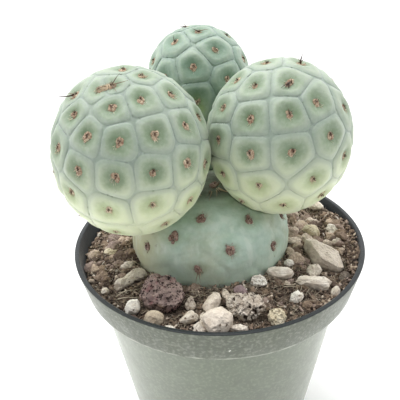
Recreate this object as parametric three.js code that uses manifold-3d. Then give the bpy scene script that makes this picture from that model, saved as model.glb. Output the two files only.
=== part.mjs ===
// A potted tephrocactus geometricus: four round stem segments growing on each other, in gritty soil, in a 9 cm
// plastic pot. Millimetres, +Z up. The origin is the centre of the pot's flat foot, and -Y is the front.

import * as THREE from "three";
import { ConvexGeometry } from "three/addons/geometries/ConvexGeometry.js";
import { mergeVertices } from "three/addons/utils/BufferGeometryUtils.js";
import Module from "manifold-3d";

// Driving dimensions

const clearance = 0.35; // gap left between neighbouring pieces
const turnedSides = 60; // flat sides in a full turn of the pot and of the soil

const potHeight = 80;
const rimRadius = 44.9;
const lipWidth = 1.4;
const collarHeight = 10.6;
const collarFootRadius = 42.7;
const bodyTopRadius = 39.4;
const bodyTaper = 0.14; // loss of radius for each mm down the body
const wall = 1.1;
const floorThickness = 1.4;
const drainHoles = { count: 6, radius: 2.8, circle: 20, sides: 10 };

const soilNearStem = potHeight - 2.2; // height of the soil where it meets the stem
const soilAtRear = potHeight - 5.4; // and at the pot's wall
const soilAtFront = potHeight - 3.4;
const soilAtRight = potHeight - 2.6; // heaped against the wall
const soilRings = [39.4, 36.2, 33, 29.8, 26.4, 22.4]; // radii of the rings of points over its top
const grit = { count: 260, smallest: 1.1, largest: 2.9, proud: 0.62 };
const chips = { count: 55, smallest: 1.1, largest: 2.2 };

const groove = { depth: 0.75, width: 2.2 }; // the net between the tubercles
const areole = { pad: 1.15, dimple: 0.45, bump: 0.5, sides: 5 };
const spine = { root: 0.24, sunk: 0.9, sides: 3 };

// A segment is a round body about its centre, with one half-height above it and one below, and its lower end can
// lean aside. Its areoles stand in spirals round the tip. Each is given by its azimuth from +X and its height above
// the level, in degrees as seen from the centre. A spine has those of its areole, its own heading and its length.
const segments = {
  segment_base: {
    centre: [-2.6, 0.3, potHeight + 1.2], radius: 24.5, top: 16.8, foot: 20, lean: [0, 0], squareness: 2.4,
    grooved: 0.35, colour: 0x93ad9f,
    areoles: [
      [-27, 87], [134, 62], [5, 56], [-97, 53], [-150, 50], [80, 50], [-52, 44], [173, 34], [44, 32],
      [-117, 31], [138, 28], [-15, 26], [-75, 22], [102, 19], [-138, 13], [-40, 11], [15, 10], [70, 8],
      [-97, 6], [-174, 2], [152, -5], [42, -9], [119, -10], [-10, -12], [-122, -17], [-65, -19], [88, -21],
      [-157, -29], [21, -34], [166, -36], [-31, -37], [-95, -41], [63, -44], [127, -45], [-135, -60],
      [-46, -67], [138, -76],
    ],
    spines: [
      [-27, 87, -94, 2, 6.0], [-27, 87, -72, 3, 6.0], [-97, 6, -108, -40, 3.4], [-40, 11, -90, -40, 2.6],
    ],
  },
  segment_left: {
    centre: [-22.6, -11.46, potHeight + 33.61], radius: 20.95, top: 22.6, foot: 22.6, lean: [0, 0],
    squareness: 2, grooved: 1, colour: 0xb4c4ac,
    areoles: [
      [154, 90], [-28, 74], [-102, 68], [43, 65], [-120, 63], [112, 63], [-63, 54], [-157, 53], [-22, 51],
      [-94, 50], [79, 46], [18, 45], [-134, 42], [126, 37], [-113, 31], [54, 31], [162, 30], [-61, 30],
      [-31, 29], [-171, 28], [-88, 28], [-4, 27], [101, 25], [-143, 18], [142, 14], [78, 12], [34, 12],
      [-119, 9], [-67, 8], [-92, 7], [-40, 7], [-180, 5], [120, 3], [-16, -3], [-157, -4], [57, -6], [159, -7],
      [-130, -9], [98, -10], [19, -13], [-69, -15], [-100, -17], [138, -21], [-174, -24], [-34, -24],
      [73, -29], [-8, -32], [114, -35], [39, -35], [-144, -37], [-55, -41], [162, -42], [-104, -45],
      [-15, -57], [67, -58], [122, -61], [-166, -63], [-82, -79],
    ],
    spines: [
      [-102, 68, 28, 49, 3.2], [-102, 68, -10, 14, 4.6], [-102, 68, -65, -6, 4.2], [-157, 53, -159, -8, 4.0],
    ],
  },
  segment_right: {
    centre: [17.4, -2.36, potHeight + 33.16], radius: 20.15, top: 21.75, foot: 21.75, lean: [0, 0],
    squareness: 2, grooved: 1, colour: 0xb2c3ad,
    areoles: [
      [171, 78], [-5, 76], [98, 63], [-85, 60], [41, 56], [-133, 55], [-173, 53], [3, 46], [133, 46],
      [-60, 42], [69, 38], [-89, 36], [-158, 32], [-122, 31], [-23, 30], [98, 28], [155, 26], [16, 22],
      [44, 20], [-55, 18], [121, 14], [-87, 11], [-151, 10], [-8, 9], [-118, 8], [68, 8], [172, 5], [-37, -2],
      [15, -4], [91, -4], [139, -5], [-69, -11], [40, -13], [-111, -16], [-147, -16], [-177, -18], [-17, -19],
      [111, -21], [64, -25], [152, -28], [-52, -32], [8, -34], [-90, -36], [-136, -42], [90, -43], [39, -49],
      [-175, -49], [129, -51], [-29, -53], [-82, -67], [30, -77],
    ],
    spines: [[-85, 60, -136, -4, 3.2], [-5, 76, 53, 75, 1.6], [-5, 76, -168, 54, 1.5]],
  },
  segment_back: {
    centre: [-5.3, 26.6, potHeight + 42.9], radius: 16.3, top: 16, foot: 28, lean: [1.5, -11],
    squareness: 2, grooved: 1, colour: 0x93ad9f,
    areoles: [
      [153, 76], [-85, 74], [57, 67], [3, 54], [-135, 54], [104, 50], [156, 47], [-61, 44], [61, 38], [23, 29],
      [126, 27], [-94, 26], [-164, 25], [-12, 23], [91, 14], [-129, 13], [-55, 10], [160, 9], [54, 6],
      [16, -1], [-163, -4], [-20, -5], [125, -7], [-91, -7], [87, -15], [-126, -16], [-57, -19], [161, -20],
      [48, -22], [11, -29], [-161, -33], [-23, -34], [-90, -35], [123, -36], [84, -44], [-126, -45],
      [166, -49], [-56, -50], [41, -51], [-8, -63], [120, -65], [-154, -71],
    ],
    spines: [[-85, 74, -5, 14, 3.0], [153, 76, 169, 55, 1.6]],
  },
};

// Loose stones: where each lies, its length, width and height, the turn of its long side from +X and the rise of
// that end in degrees, and its colour. A large one gets more faces.
const stones = {
  lava_stone: { at: [-15.8, -28.8], size: [14.2, 11.6, 9.8], turn: -28, rise: 0, large: true, colour: 0x77605f },
  stone_right_large: { at: [31.4, -9.9], size: [17.0, 9.4, 8.2], turn: 131, rise: 12, large: true, colour: 0xcfc6ba },
  stone_right_long: { at: [26.3, -22.5], size: [12.2, 5.4, 4.6], turn: -16, rise: 0, colour: 0xd5ccc2 },
  stone_right_pink: { at: [27.3, -16.9], size: [6.4, 4.6, 4.4], turn: 40, rise: 8, colour: 0xcdbdb2 },
  stone_right_small: { at: [31.7, -26.6], size: [4.0, 2.8, 3.8], turn: 70, rise: 25, colour: 0xcabfb4 },
  stone_right_white: { at: [20.8, -28.3], size: [4.6, 3.8, 3.8], turn: 30, rise: 10, colour: 0xdad6c4 },
  stone_right_dark: { at: [35.8, -19.2], size: [4.4, 3.8, 3.6], turn: 60, rise: 0, colour: 0x6f6c66 },
  stone_right_slab: { at: [30.0, 3.4], size: [7.6, 5.4, 4.8], turn: -20, rise: 8, colour: 0xa79c8c },
  stone_stem_oval: { at: [17.5, -19.5], size: [8.4, 4.4, 4.4], turn: -10, rise: 0, colour: 0xd8d0c6 },
  stone_stem_small: { at: [20.4, -14.8], size: [3.8, 3.0, 3.2], turn: -25, rise: 0, colour: 0xe0dbd2 },
  stone_stem_white: { at: [10.9, -23.0], size: [5.6, 4.4, 4.4], turn: 4, rise: 10, colour: 0xe0dbd2 },
  stone_stem_plum: { at: [5.6, -26.6], size: [4.6, 3.6, 3.4], turn: -15, rise: 0, colour: 0xa2948f },
  stone_front_large: { at: [-0.5, -38.8], size: [10.2, 7.4, 7.2], turn: 30, rise: 0, large: true, colour: 0xe2dacd },
  stone_front_long: { at: [-1.9, -31.5], size: [9.2, 4.8, 4.8], turn: 62, rise: 10, colour: 0xcfc4ae },
  stone_front_porous: { at: [6.6, -33.4], size: [11.0, 8.6, 6.8], turn: -40, rise: 0, large: true, colour: 0xb9b1a8 },
  stone_front_pitted: { at: [14.7, -36.3], size: [5.6, 5.2, 5.8], turn: 80, rise: 0, colour: 0xd9cfb8 },
  stone_front_tan: { at: [-7.7, -36.3], size: [5.8, 4.2, 4.2], turn: 14, rise: 0, colour: 0xd2c3ae },
  stone_front_speckled: { at: [-7.4, -32.2], size: [4.0, 3.2, 5.8], turn: 60, rise: 0, colour: 0xd5ccc0 },
  stone_left_long: { at: [-25.0, -20.5], size: [13.6, 5.2, 5.0], turn: 42, rise: 0, colour: 0xd6cdbb },
  stone_left_small: { at: [-31.9, -24.6], size: [3.4, 2.8, 3.0], turn: 60, rise: 0, colour: 0xd6cdbb },
  stone_left_white: { at: [-22.7, -32.9], size: [5.8, 4.0, 5.8], turn: 58, rise: 0, colour: 0xdfd8cf },
  stone_left_round: { at: [-17.1, -36.7], size: [6.2, 4.4, 5.4], turn: 10, rise: 0, colour: 0xb7a48e },
  stone_left_yellow: { at: [-33.6, -5.9], size: [5.0, 3.2, 3.0], turn: 4, rise: 0, colour: 0xc9b893 },
  stone_rear_flat: { at: [34.2, 19.6], size: [8.6, 5.2, 4.2], turn: -35, rise: 0, colour: 0xd6c6ba },
};
const bedded = 0.22; // share of a stone's height that is down in the soil

// Joining and cutting closed meshes

const wasm = await Module();
wasm.setup();

function merged(geometry) {
  const bare = geometry.clone();
  bare.deleteAttribute("normal");
  bare.deleteAttribute("uv");
  return mergeVertices(bare, 1e-4);
}

function toSolid(geometry) {
  const closed = merged(geometry);
  return new wasm.Manifold(new wasm.Mesh({
    numProp: 3,
    vertProperties: new Float32Array(closed.attributes.position.array),
    triVerts: new Uint32Array(closed.index.array),
  }));
}

function toGeometry(solid) {
  const mesh = solid.getMesh();
  const geometry = new THREE.BufferGeometry();
  geometry.setAttribute("position", new THREE.BufferAttribute(new Float32Array(mesh.vertProperties), 3));
  geometry.setIndex(new THREE.BufferAttribute(new Uint32Array(mesh.triVerts), 1));
  return geometry;
}

function largestBody(solid) {
  return solid.decompose().sort((a, b) => b.volume() - a.volume())[0];
}

function movePoints(geometry, move) {
  const position = geometry.attributes.position;
  const point = new THREE.Vector3();
  for (let i = 0; i < position.count; i += 1) {
    move(point.fromBufferAttribute(position, i));
    position.setXYZ(i, point.x, point.y, point.z);
  }
  return geometry;
}

function seededRandom(seed) {
  let state = seed;
  return () => {
    state = (Math.imul(state, 1664525) + 1013904223) >>> 0;
    return state / 2 ** 32;
  };
}

function pieceMesh(name, geometry, colour, roughness) {
  const mesh = new THREE.Mesh(geometry, new THREE.MeshStandardMaterial({ color: colour, roughness, metalness: 0 }));
  mesh.name = name;
  return mesh;
}

// Stem segments: a net of grooves round the areoles, and in each areole a dimple with a woolly pad

// The direction with an azimuth from +X and a height above the level, both in degrees.
function directionOf([azimuth, height]) {
  const polar = THREE.MathUtils.degToRad(90 - height);
  const turn = THREE.MathUtils.degToRad(azimuth);
  return new THREE.Vector3(Math.sin(polar) * Math.cos(turn), Math.sin(polar) * Math.sin(turn), Math.cos(polar));
}

// The point of the segment's smooth body that lies in a direction from its centre, with its skin moved out by lift.
function bodyPoint(spec, direction, lift) {
  const power = 2 / spec.squareness;
  const flat = Math.max(Math.hypot(direction.x, direction.y), 1e-6);
  const reach = (spec.radius + lift) * flat ** (power - 1);
  const half = (direction.z > 0 ? spec.top : spec.foot) + lift;
  const down = Math.min(direction.z, 0) ** 2;
  return new THREE.Vector3(
    reach * direction.x + spec.lean[0] * down,
    reach * direction.y + spec.lean[1] * down,
    half * Math.sign(direction.z) * Math.abs(direction.z) ** power,
  );
}

// How far the skin stands out at a direction: the groove lies where the two nearest areoles are equally far.
function skinRelief(spec, areoles, direction) {
  let nearest = Infinity;
  let second = Infinity;
  for (const place of areoles) {
    const distance = place.distanceTo(direction) * spec.radius;
    if (distance < nearest) [nearest, second] = [distance, nearest];
    else if (distance < second) second = distance;
  }
  const net = groove.depth * (1 - THREE.MathUtils.smoothstep(second - nearest, 0, groove.width));
  const dimple = areole.dimple * (1 - THREE.MathUtils.smoothstep(nearest, 0, 2 * areole.pad));
  const pad = areole.bump * (1 - THREE.MathUtils.smoothstep(nearest, 0, areole.pad));
  return pad - dimple - spec.grooved * net;
}

// Directions where the relief turns: the corners and sides of each areole's cell, its shoulders, and the pad.
function reliefDirections(spec, areoles) {
  const directions = [];
  const shoulder = 0.74; // how far out from the areole towards the side
  const shortSide = 1.6;
  const faces = new ConvexGeometry(areoles).attributes.position;
  const sides = new Map();
  const nameOf = (point) => `${point.x.toFixed(5)},${point.y.toFixed(5)},${point.z.toFixed(5)}`;
  for (let i = 0; i < faces.count; i += 3) {
    const [a, b, c] = [0, 1, 2].map((k) => new THREE.Vector3().fromBufferAttribute(faces, i + k));
    const corner = b.clone().sub(a).cross(c.clone().sub(a)).normalize();
    directions.push(corner);
    for (const pair of [[a, b], [b, c], [c, a]]) {
      const key = pair.map(nameOf).sort().join(" ");
      if (!sides.has(key)) sides.set(key, { pair, corners: [] });
      sides.get(key).corners.push(corner);
    }
  }
  for (const { pair, corners: [start, end] } of sides.values()) {
    const middle = start.clone().add(end).normalize();
    if (start.distanceTo(end) * spec.radius > shortSide) directions.push(middle);
    for (const place of pair) directions.push(place.clone().lerp(middle, shoulder).normalize());
  }
  for (const place of areoles) {
    directions.push(place);
    const across = new THREE.Vector3(0.3, 0.5, 0.81).cross(place).normalize();
    const along = place.clone().cross(across);
    for (let k = 0; k < areole.sides; k += 1) {
      const angle = 2 * Math.PI * k / areole.sides;
      directions.push(place.clone()
        .addScaledVector(across, areole.pad / spec.radius * Math.cos(angle))
        .addScaledVector(along, areole.pad / spec.radius * Math.sin(angle))
        .normalize());
    }
  }
  return directions;
}

// A slim spine: a cone with its root sunk in the areole's pad.
function spineSolid(spec, [areoleAzimuth, areoleHeight, azimuth, height, length]) {
  const cone = new THREE.ConeGeometry(spine.root, length + spine.sunk, spine.sides);
  cone.translate(0, (length + spine.sunk) / 2 - spine.sunk, 0);
  cone.applyQuaternion(new THREE.Quaternion().setFromUnitVectors(
    THREE.Object3D.DEFAULT_UP, directionOf([azimuth, height])));
  const root = bodyPoint(spec, directionOf([areoleAzimuth, areoleHeight]), 0);
  return toSolid(cone.translate(root.x, root.y, root.z));
}

function segmentSolid(spec) {
  const areoles = spec.areoles.map(directionOf);
  const skin = new ConvexGeometry(reliefDirections(spec, areoles));
  movePoints(skin, (point) => {
    const direction = point.clone().normalize();
    point.copy(bodyPoint(spec, direction, skinRelief(spec, areoles, direction)));
  });
  let solid = toSolid(skin);
  for (const placed of spec.spines) solid = solid.add(spineSolid(spec, placed));
  return solid;
}

// The smooth body with the clearance round it, which cuts the seat that the segment needs in a neighbour.
function seatSolid(spec, neighbourCentre) {
  const seat = movePoints(new THREE.IcosahedronGeometry(1, 7), (point) => {
    const direction = point.clone().normalize();
    point.copy(bodyPoint(spec, direction, clearance));
  });
  const [x, y, z] = spec.centre.map((value, axis) => value - neighbourCentre[axis]);
  return toSolid(seat.translate(x, y, z));
}

// Stones: lumps broken off along seeded planes

function stoneGeometry([length, width, height], detail, seed, lift) {
  const random = seededRandom(seed);
  const planes = Array.from({ length: 9 }, () => ({
    normal: new THREE.Vector3(random() - 0.5, random() - 0.5, random() - 0.5).normalize(),
    distance: 0.68 + 0.24 * random(),
  }));
  return movePoints(merged(new THREE.IcosahedronGeometry(1, detail)), (point) => {
    const cuts = planes.map(({ normal, distance }) => distance / Math.max(point.dot(normal), 0.1));
    point.multiplyScalar(Math.min(1, ...cuts));
    point.set(point.x * length / 2, point.y * width / 2, point.z * height / 2);
    point.multiplyScalar(1 + lift / point.length());
  });
}

function layOnSoil(mesh, [x, y], height, turn, rise) {
  mesh.position.set(x, y, soilHeight(x, y) + height * (0.5 - bedded));
  mesh.rotation.set(0, -THREE.MathUtils.degToRad(rise), THREE.MathUtils.degToRad(turn), "ZYX");
  mesh.updateMatrixWorld();
}

// Soil: filled to the wall and mounded up to the stem, with grit all over it

function innerRadius(z) {
  const collarFoot = potHeight - collarHeight;
  const flare = (rimRadius - collarFootRadius) / collarHeight;
  if (z > collarFoot) return collarFootRadius + flare * (z - collarFoot) - lipWidth;
  return bodyTopRadius - wall - bodyTaper * (collarFoot - z);
}

// How much of a point's height comes from the heap at the right of the wall, from 0 to 1.
function heapShare(x, y) {
  const reach = Math.max(Math.hypot(x, y), 1);
  return THREE.MathUtils.smoothstep(x / reach, 0.3, 0.75)
    * THREE.MathUtils.smoothstep(y / reach, -0.4, -0.1)
    * THREE.MathUtils.smoothstep(reach, 34, 40.5);
}

function soilHeight(x, y) {
  const stem = segments.segment_base;
  const fromStem = Math.hypot(x - stem.centre[0], y - stem.centre[1]) - stem.radius;
  const frontShare = THREE.MathUtils.smoothstep(-y / Math.max(Math.hypot(x, y), 1), 0, 0.75);
  const atWall = THREE.MathUtils.lerp(soilAtRear, soilAtFront, frontShare);
  const roll = 0.4 * Math.sin(x * 0.21 + 1.1) * Math.cos(y * 0.17 - 0.4);
  const bed = THREE.MathUtils.lerp(soilNearStem, atWall, THREE.MathUtils.smoothstep(fromStem, 0, 16)) + roll;
  return THREE.MathUtils.lerp(bed, soilAtRight, heapShare(x, y));
}

function gritHeight(grains, x, y) {
  let height = 0;
  for (const grain of grains) {
    const share = Math.hypot(x - grain.x, y - grain.y) / grain.radius;
    if (share < 1) height = Math.max(height, grain.radius * grit.proud * Math.sqrt(1 - share * share));
  }
  return height;
}

function scatter({ count, smallest, largest }, seed) {
  const random = seededRandom(seed);
  const inner = 22;
  const outer = innerRadius(soilAtRear) - 2.6;
  return Array.from({ length: count }, () => {
    const reach = Math.sqrt(inner ** 2 + random() * (outer ** 2 - inner ** 2));
    const angle = 2 * Math.PI * random();
    const radius = smallest + (largest - smallest) * random() ** 2;
    return { x: reach * Math.cos(angle), y: reach * Math.sin(angle), radius, turn: 360 * random() };
  });
}

function soilSolid(cutters) {
  const collarFoot = potHeight - collarHeight;
  const bottom = floorThickness + clearance;
  const outer = innerRadius(soilAtRear) - clearance;
  const profile = [
    [0, bottom],
    [innerRadius(floorThickness) - clearance, bottom],
    [innerRadius(collarFoot) - clearance, collarFoot],
    [innerRadius(collarFoot + 2) - clearance, collarFoot + 2 + clearance],
    [outer, soilAtRear - 0.8],
    ...[outer, ...soilRings, 0].map((radius) => [radius, potHeight]),
  ];
  const filling = new THREE.LatheGeometry(profile.map(([r, z]) => new THREE.Vector2(r, z)), turnedSides);
  filling.rotateX(Math.PI / 2);
  const grains = scatter(grit, 7);
  movePoints(filling, (point) => {
    if (point.z < potHeight - 0.01) return;
    const atWall = Math.hypot(point.x, point.y) > outer - 0.1;
    point.z = soilHeight(point.x, point.y) + (atWall ? 0 : gritHeight(grains, point.x, point.y));
  });
  let soil = toSolid(filling);
  scatter(chips, 21).forEach(({ x, y, radius, turn }, i) => {
    const size = [2.3 * radius, 1.8 * radius, 1.6 * radius];
    const chip = new THREE.Mesh(stoneGeometry(size, 0, 500 + i, 0));
    layOnSoil(chip, [x, y], size[2], turn, 0);
    soil = soil.add(toSolid(chip.geometry.applyMatrix4(chip.matrixWorld)));
  });
  for (const cutter of cutters) soil = soil.subtract(cutter);
  return largestBody(soil);
}

// The pot: a turned wall with a flared collar, and drain holes through its floor

function potSolid() {
  const collarFoot = potHeight - collarHeight;
  const footRadius = bodyTopRadius - bodyTaper * collarFoot;
  const edge = 0.4; // rounding of the lip and of the collar's lower edge
  const profile = [
    [0, 0],
    [footRadius - 1, 0],
    [footRadius, 1],
    [bodyTopRadius, collarFoot],
    [collarFootRadius - edge, collarFoot],
    [collarFootRadius, collarFoot + edge],
    [rimRadius, potHeight - edge],
    [rimRadius - edge, potHeight],
    [rimRadius - lipWidth + edge, potHeight],
    [rimRadius - lipWidth, potHeight - edge],
    [innerRadius(collarFoot + 2), collarFoot + 2],
    [innerRadius(collarFoot), collarFoot],
    [innerRadius(floorThickness), floorThickness],
    [0, floorThickness],
  ];
  const shell = new THREE.LatheGeometry(profile.map(([r, z]) => new THREE.Vector2(r, z)), turnedSides);
  shell.rotateX(Math.PI / 2);
  let pot = toSolid(shell);
  for (let k = 0; k < drainHoles.count; k += 1) {
    const angle = 2 * Math.PI * k / drainHoles.count;
    const drill = new THREE.CylinderGeometry(drainHoles.radius, drainHoles.radius, 6, drainHoles.sides);
    drill.rotateX(Math.PI / 2);
    drill.translate(drainHoles.circle * Math.cos(angle), drainHoles.circle * Math.sin(angle), 0);
    pot = pot.subtract(toSolid(drill));
  }
  return pot;
}

// The plant: the upper segments sit in seats on the base segment

const plant = new THREE.Group();
for (const [name, spec] of Object.entries(segments)) {
  let solid = segmentSolid(spec);
  if (name === "segment_base") {
    for (const upper of ["segment_left", "segment_right", "segment_back"]) {
      solid = solid.subtract(seatSolid(segments[upper], spec.centre));
    }
  }
  const segment = pieceMesh(name, toGeometry(largestBody(solid)), spec.colour, 0.6);
  segment.position.set(...spec.centre);
  plant.add(segment);
}

// The stones on the soil, and the hollow that each one needs in it

const gravel = new THREE.Group();
const hollows = [seatSolid(segments.segment_base, [0, 0, 0])];
Object.entries(stones).forEach(([name, spec], i) => {
  const detail = spec.large ? 2 : 1;
  const stone = pieceMesh(name, stoneGeometry(spec.size, detail, 100 + i, 0), spec.colour, 0.95);
  layOnSoil(stone, spec.at, spec.size[2], spec.turn, spec.rise);
  gravel.add(stone);
  const hollow = stoneGeometry(spec.size, detail, 100 + i, 1.2 * clearance);
  hollows.push(toSolid(hollow.applyMatrix4(stone.matrixWorld)));
});

const holder = new THREE.Group();
holder.add(pieceMesh("pot", toGeometry(potSolid()), 0x3d4345, 0.55));
holder.add(pieceMesh("soil", toGeometry(soilSolid(hollows)), 0x4d3c31, 1));

const pottedCactus = new THREE.Group();
pottedCactus.add(holder, plant, gravel);

export default pottedCactus;
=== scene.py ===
# A potted tephrocactus geometricus: an old stem segment with three round ones grown on it, in gritty soil in a
# 9 cm nursery pot. Metres, +Z up, the origin at the centre of the pot's foot, and the front towards -Y.

import math
import random

import bmesh
import bpy
import numpy as np
from mathutils import Matrix, Vector, noise


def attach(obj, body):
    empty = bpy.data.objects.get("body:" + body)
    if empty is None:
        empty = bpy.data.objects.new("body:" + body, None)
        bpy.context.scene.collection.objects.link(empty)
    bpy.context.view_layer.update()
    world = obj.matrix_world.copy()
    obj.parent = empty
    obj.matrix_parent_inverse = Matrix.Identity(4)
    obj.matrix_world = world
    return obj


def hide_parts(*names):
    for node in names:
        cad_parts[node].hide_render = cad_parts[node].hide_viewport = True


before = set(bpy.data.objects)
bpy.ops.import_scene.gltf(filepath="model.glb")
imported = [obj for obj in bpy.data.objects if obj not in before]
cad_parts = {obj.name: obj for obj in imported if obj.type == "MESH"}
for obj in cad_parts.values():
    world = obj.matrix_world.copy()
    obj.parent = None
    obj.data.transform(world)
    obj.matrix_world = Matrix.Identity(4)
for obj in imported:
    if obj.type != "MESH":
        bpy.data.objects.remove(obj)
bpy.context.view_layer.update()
mm = 0.001


# The view: a short telephoto looking down on the plant from the front, close enough that the pot runs out of
# the bottom of the picture.

photo_view = bpy.data.objects.new("photo_view", bpy.data.cameras.new("photo_view"))
photo_view.data.sensor_width = 36
photo_view.data.lens = 45.015
photo_view.data.clip_start = 5 * mm
photo_view.location = (0, -133.585 * mm, 167.301 * mm)
photo_view.rotation_euler = (1.058825, 0.033384, 0.021212)
bpy.context.scene.collection.objects.link(photo_view)
bpy.context.scene.camera = photo_view


# The studio: a white paper floor in a bright white room, dimmer towards the front where the photographer stands,
# and a soft box overhead.

def srgb(red, green, blue):
    """A colour given in steps from 0 to 255, for the shader."""
    shares = (red / 255, green / 255, blue / 255)
    return tuple(c / 12.92 if c <= 0.04 else ((c + 0.055) / 1.055) ** 2.4 for c in shares) + (1,)


def add_node(tree, kind, values=(), **settings):
    """A shader node with its settings made and its inputs set or linked."""
    node = tree.nodes.new(kind)
    for name, value in settings.items():
        setattr(node, name, value)
    for socket, value in dict(values).items():
        if isinstance(value, bpy.types.NodeSocket):
            tree.links.new(value, node.inputs[socket])
        else:
            node.inputs[socket].default_value = value
    return node


def fade(tree, value, start, end, low=0.0, high=1.0):
    """A smooth step from low to high while a value goes from start to end."""
    values = {"Value": value, "From Min": start, "From Max": end, "To Min": low, "To Max": high}
    return add_node(tree, "ShaderNodeMapRange", values, interpolation_type="SMOOTHSTEP").outputs["Result"]


studio = bpy.data.worlds.new("studio")
studio.use_nodes = True
tree = studio.node_tree
room = add_node(tree, "ShaderNodeSeparateXYZ", {0: add_node(tree, "ShaderNodeTexCoord").outputs["Generated"]})
light_at_front, light_at_rear = 0.15, 1.6
room_light = fade(tree, room.outputs["Y"], -0.95, 0.1, light_at_front, light_at_rear)
seen = add_node(tree, "ShaderNodeLightPath").outputs["Is Camera Ray"]
strength = add_node(tree, "ShaderNodeMix", {0: seen, 2: room_light, 3: 1.0}, data_type="FLOAT").outputs[0]
tree.nodes["Background"].inputs["Color"].default_value = (1, 1, 1, 1)
tree.links.new(strength, tree.nodes["Background"].inputs["Strength"])
bpy.context.scene.world = studio
bpy.context.scene.view_settings.view_transform = "Standard"

soft_box = bpy.data.lights.new("soft_box", "AREA")
soft_box.shape = "DISK"
soft_box.size = 0.5
soft_box.energy = 2.4
soft_box_stand = bpy.data.objects.new("soft_box", soft_box)
soft_box_stand.location = (-0.12, 0.1, 0.62)
to_plant = Vector((0, 0, 0.1)) - soft_box_stand.location
soft_box_stand.rotation_euler = to_plant.to_track_quat("-Z", "Y").to_euler()
bpy.context.scene.collection.objects.link(soft_box_stand)


def as_mesh(name, solid):
    """A bmesh as a mesh of its own."""
    mesh = bpy.data.meshes.new(name)
    solid.to_mesh(mesh)
    solid.free()
    return mesh


sweep = bmesh.new()
bmesh.ops.create_grid(sweep, x_segments=1, y_segments=1, size=3)
sweep_mesh = as_mesh("floor_sweep", sweep)
floor_sweep = bpy.data.objects.new("floor_sweep", sweep_mesh)
floor_paper = bpy.data.materials.new("floor_paper")
floor_paper.use_nodes = True
floor_paper.node_tree.nodes["Principled BSDF"].inputs["Base Color"].default_value = srgb(252, 252, 252)
floor_paper.node_tree.nodes["Principled BSDF"].inputs["Roughness"].default_value = 0.9
sweep_mesh.materials.append(floor_paper)
bpy.context.scene.collection.objects.link(floor_sweep)


# The pot: a thin injection-moulded nursery pot of dark plastic, its wall flared out into a collar with a rounded
# lip, and drain holes through the floor. Hard water and dust have dried to a pale film on its outside.

pot_height = 80
rim_radius = 44.9
lip_width = 1.4
collar_height = 10.6
collar_foot_radius = 42.7
body_top_radius = 39.4
body_taper = 0.14  # loss of radius for each mm down the body
foot_radius = 28.3
wall = 1.1
floor_thickness = 1.4
edge_round = 0.4
drain_holes, hole_radius, hole_circle = 6, 2.8, 20
collar_foot = pot_height - collar_height


def inner_radius(z):
    """The radius of the pot's inner wall at a height, in millimetres."""
    if z > collar_foot:
        flare = (rim_radius - collar_foot_radius) * (z - collar_foot) / collar_height
        return collar_foot_radius + flare - lip_width
    return body_top_radius - wall - body_taper * (collar_foot - z)


def smooth_step(value, start, end):
    """How far a value is on its way from start to end, from 0 to 1."""
    share = min(max((value - start) / (end - start), 0), 1)
    return share * share * (3 - 2 * share)


def tint(tree, share, under, over, how="MIX"):
    """One colour laid over another, by a share from 0 to 1."""
    values = {0: share, 6: under, 7: over}
    return add_node(tree, "ShaderNodeMix", values, data_type="RGBA", blend_type=how).outputs[2]


def coated(tree, colour, *coats):
    """A colour with coats laid over it in turn, each given by its mask and its own colour."""
    for mask, shade in coats:
        colour = tint(tree, mask, colour, srgb(*shade))
    return colour


def compute(tree, how, first, second):
    """Two values added, subtracted or multiplied."""
    return add_node(tree, "ShaderNodeMath", {0: first, 1: second}, operation=how).outputs[0]


def product(tree, first, *others):
    """Masks and shares multiplied together."""
    for other in others:
        first = compute(tree, "MULTIPLY", first, other)
    return first


def between(tree, mask, low, high):
    """A mask that runs from low to high instead of from 0 to 1."""
    return fade(tree, mask, 0, 1, low, high)


def layer(tree, name):
    """A value that the mesh carries at its points."""
    return add_node(tree, "ShaderNodeAttribute", attribute_name=name).outputs["Fac"]


def reach_along(tree, axis):
    """How far the surface lies along X, Y or Z."""
    place = add_node(tree, "ShaderNodeTexCoord").outputs["Object"]
    return add_node(tree, "ShaderNodeSeparateXYZ", {0: place}).outputs[axis]


def grain(tree, scale, detail=4.0, stretch=(1, 1, 1)):
    """Fine noise on the object's own coordinates."""
    place = add_node(tree, "ShaderNodeTexCoord").outputs["Object"]
    along = add_node(tree, "ShaderNodeMapping", {"Vector": place, "Scale": stretch}).outputs[0]
    values = {"Vector": along, "Scale": scale, "Detail": detail}
    return add_node(tree, "ShaderNodeTexNoise", values).outputs["Fac"]


def bump(tree, shader, height, distance, under=None):
    """A bump on the shader's normal, over another one if given."""
    values = {"Height": height, "Distance": distance}
    if under:
        values["Normal"] = under
    normal = add_node(tree, "ShaderNodeBump", values).outputs["Normal"]
    tree.links.new(normal, shader.inputs["Normal"])
    return normal


def new_finish(name, **sockets):
    """A material with its even values set on the shader's own sockets."""
    material = bpy.data.materials.new(name)
    material.use_nodes = True
    shader = material.node_tree.nodes["Principled BSDF"]
    for socket, value in sockets.items():
        shader.inputs[socket.replace("_", " ").title().replace("Ior", "IOR")].default_value = value
    return material, material.node_tree, shader


def new_group(name, inputs):
    """An effect that several materials share, as a node group that puts out one mask."""
    group = bpy.data.node_groups.new(name, "ShaderNodeTree")
    for socket in inputs:
        group.interface.new_socket(socket, in_out="INPUT", socket_type="NodeSocketFloat")
    group.interface.new_socket("Mask", in_out="OUTPUT", socket_type="NodeSocketFloat")
    given = group.nodes.new("NodeGroupInput").outputs
    place = add_node(group, "ShaderNodeTexCoord").outputs["Object"]
    values = {0: place, 1: given["Offset"]}
    shifted = add_node(group, "ShaderNodeVectorMath", values, operation="ADD").outputs[0]
    return group, given, shifted


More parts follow.
